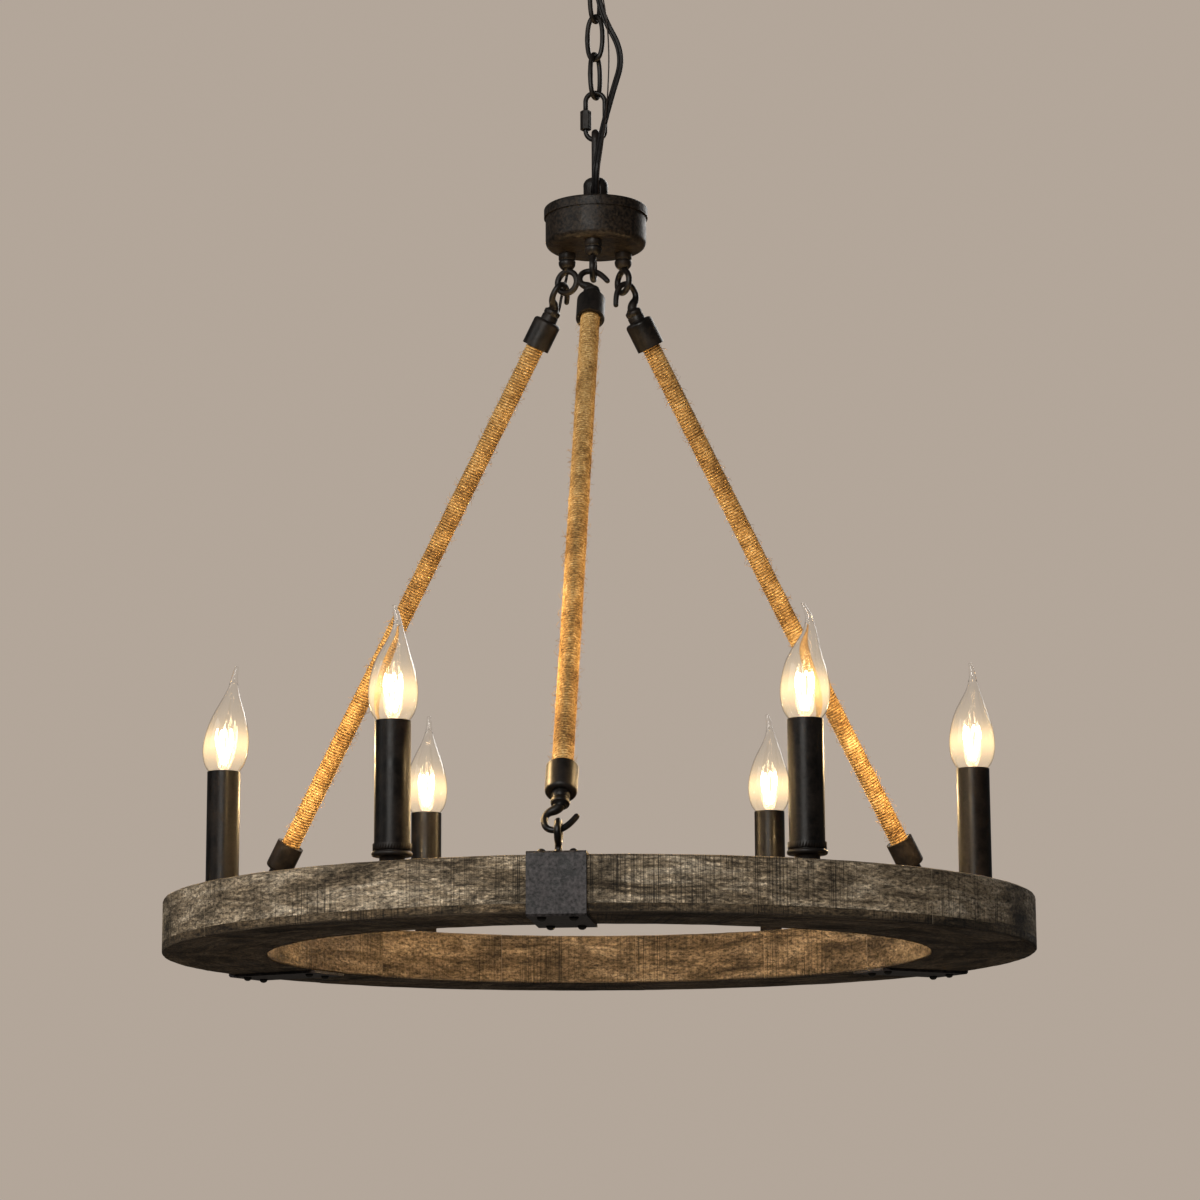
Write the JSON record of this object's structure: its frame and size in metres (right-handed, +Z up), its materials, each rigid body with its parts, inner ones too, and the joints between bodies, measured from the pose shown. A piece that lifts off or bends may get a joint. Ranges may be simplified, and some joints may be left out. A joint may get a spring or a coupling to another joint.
{
  "type": "wagon wheel chandelier",
  "caption": "Ring chandelier whose stave-built wooden rim carries candle lamps and hangs on twine-bound arms from a steel hub, chain and canopy.",
  "frame": {"origin": "centre of the mounting bar's upper face, midway between its two slots", "axes": "+Z up along the hanging axis, +X along the bar's slots, so the pictured side faces -Y"},
  "size_m": [0.68, 0.6827, 0.913],
  "materials": {
    "zinc_steel": "bright zinc plate",
    "dark_iron": "dark brown-black paint, satin",
    "black_cord": "smooth black sheath",
    "hemp_twine": "close turns of twisted twine over a rod",
    "weathered_wood": "grey-brown weathered oak, matt",
    "white_plastic": "moulded",
    "sleeve_paint": "smooth dark brown-black paint",
    "clear_glass": "clear, lit from inside",
    "brass_cap": "bright"
  },
  "bodies": {
    "ceiling": {"mounting_bar": "zinc_steel", "threaded_nipple": "zinc_steel", "nipple_locknuts": "zinc_steel", "canopy": "dark_iron", "canopy_collar_nut": "dark_iron", "canopy_loop": "dark_iron"},
    "upper_link": {"chain_link_1": "dark_iron", "cord_1": "black_cord"},
    "middle_link": {"chain_link_2": "dark_iron", "cord_2": "black_cord"},
    "lower_link": {"chain_link_3": "dark_iron", "cord_3": "black_cord"},
    "screw_link": {"quick_link": "dark_iron", "cord_4": "black_cord"},
    "link_sleeve": {"quick_link_sleeve": "dark_iron"},
    "hub": {"hub_loop": "dark_iron", "hub_lid": "dark_iron", "hub_cup": "dark_iron", "hub_coupling": "dark_iron", "hub_eyes": "dark_iron", "hub_eye_nuts": "dark_iron", "cord_5": "black_cord"},
    "front_arm": {"front_arm_rope": "hemp_twine", "front_arm_ferrules": "dark_iron", "front_arm_upper_hook": "dark_iron", "front_arm_lower_hook": "dark_iron"},
    "left_arm": {"left_arm_rope": "hemp_twine", "left_arm_ferrules": "dark_iron", "left_arm_upper_hook": "dark_iron", "left_arm_lower_hook": "dark_iron", "arm_lead": "black_cord"},
    "right_arm": {"right_arm_rope": "hemp_twine", "right_arm_ferrules": "dark_iron", "right_arm_upper_hook": "dark_iron", "right_arm_lower_hook": "dark_iron"},
    "rim": {"rim_staves_back": "weathered_wood", "rim_staves_front": "weathered_wood", "wiring_cover": "weathered_wood", "front_strap": "dark_iron", "left_strap": "dark_iron", "right_strap": "dark_iron", "strap_bolts": "dark_iron", "strap_eyes": "dark_iron", "candle_cups": "dark_iron", "lampholders": "white_plastic", "candle_sleeves": "sleeve_paint"},
    "bulb_1": {"bulb_1_glass": "clear_glass", "bulb_1_cap": "brass_cap"},
    "bulb_2": {"bulb_2_glass": "clear_glass", "bulb_2_cap": "brass_cap"},
    "bulb_3": {"bulb_3_glass": "clear_glass", "bulb_3_cap": "brass_cap"},
    "bulb_4": {"bulb_4_glass": "clear_glass", "bulb_4_cap": "brass_cap"},
    "bulb_5": {"bulb_5_glass": "clear_glass", "bulb_5_cap": "brass_cap"},
    "bulb_6": {"bulb_6_glass": "clear_glass", "bulb_6_cap": "brass_cap"}
  },
  "joints": [
    {"name": "upper_link_swing", "type": "hinge", "parent": "ceiling", "child": "upper_link", "pos_m": [0, 0, -0.0986], "axis": [0.848, -0.5299, 0], "range_deg": [-15, 15], "deforming": ["cord_1"]},
    {"name": "middle_link_swing", "type": "hinge", "parent": "upper_link", "child": "middle_link", "pos_m": [0, 0, -0.1304], "axis": [0.5299, 0.848, 0], "range_deg": [-15, 15], "deforming": ["cord_2"]},
    {"name": "lower_link_swing", "type": "hinge", "parent": "middle_link", "child": "lower_link", "pos_m": [0, 0, -0.1634], "axis": [0.848, -0.5299, 0], "range_deg": [-15, 15], "deforming": ["cord_3"]},
    {"name": "screw_link_swing", "type": "hinge", "parent": "lower_link", "child": "screw_link", "pos_m": [0, 0, -0.1964], "axis": [0.5299, 0.848, 0], "range_deg": [-15, 15], "deforming": ["cord_4"]},
    {"name": "hub_swing", "type": "hinge", "parent": "screw_link", "child": "hub", "pos_m": [0, 0, -0.2325], "axis": [1, 0, 0], "range_deg": [-15, 15], "deforming": ["cord_5"]},
    {"name": "link_sleeve_slide", "type": "slide", "parent": "screw_link", "child": "link_sleeve", "axis": [0, 0, 1], "range_m": [0, 0.0078]},
    {"name": "rim_sway", "type": "hinge", "parent": "hub", "child": "rim", "pos_m": [0, 0, -0.3087], "axis": [0, 1, 0], "range_deg": [-4, 4]},
    {"name": "front_arm_swing", "type": "hinge", "parent": "hub", "child": "front_arm", "pos_m": [-0.0025, -0.03036, -0.3569], "axis": [0, 1, 0], "range_deg": [-4.5, 4.5]},
    {"name": "left_arm_swing", "type": "hinge", "parent": "hub", "child": "left_arm", "pos_m": [-0.02768, 0.01598, -0.3569], "axis": [0, 1, 0], "range_deg": [-4.5, 4.5], "deforming": ["arm_lead"]},
    {"name": "right_arm_swing", "type": "hinge", "parent": "hub", "child": "right_arm", "pos_m": [0.02211, 0.01329, -0.3582], "axis": [0, 1, 0], "range_deg": [-4.5, 4.5]},
    {"name": "bulb_1_unscrew", "type": "slide", "parent": "rim", "child": "bulb_1", "axis": [0, 0, 1], "range_m": [0, 0.032]},
    {"name": "bulb_2_unscrew", "type": "slide", "parent": "rim", "child": "bulb_2", "axis": [0, 0, 1], "range_m": [0, 0.032]},
    {"name": "bulb_3_unscrew", "type": "slide", "parent": "rim", "child": "bulb_3", "axis": [0, 0, 1], "range_m": [0, 0.032]},
    {"name": "bulb_4_unscrew", "type": "slide", "parent": "rim", "child": "bulb_4", "axis": [0, 0, 1], "range_m": [0, 0.032]},
    {"name": "bulb_5_unscrew", "type": "slide", "parent": "rim", "child": "bulb_5", "axis": [0, 0, 1], "range_m": [0, 0.032]},
    {"name": "bulb_6_unscrew", "type": "slide", "parent": "rim", "child": "bulb_6", "axis": [0, 0, 1], "range_m": [0, 0.032]}
  ],
  "couplings": [
    {"joint": "front_arm_swing", "follows": "rim_sway", "ratio": 1.1007},
    {"joint": "left_arm_swing", "follows": "rim_sway", "ratio": 1.1027},
    {"joint": "right_arm_swing", "follows": "rim_sway", "ratio": 1.1007}
  ]
}
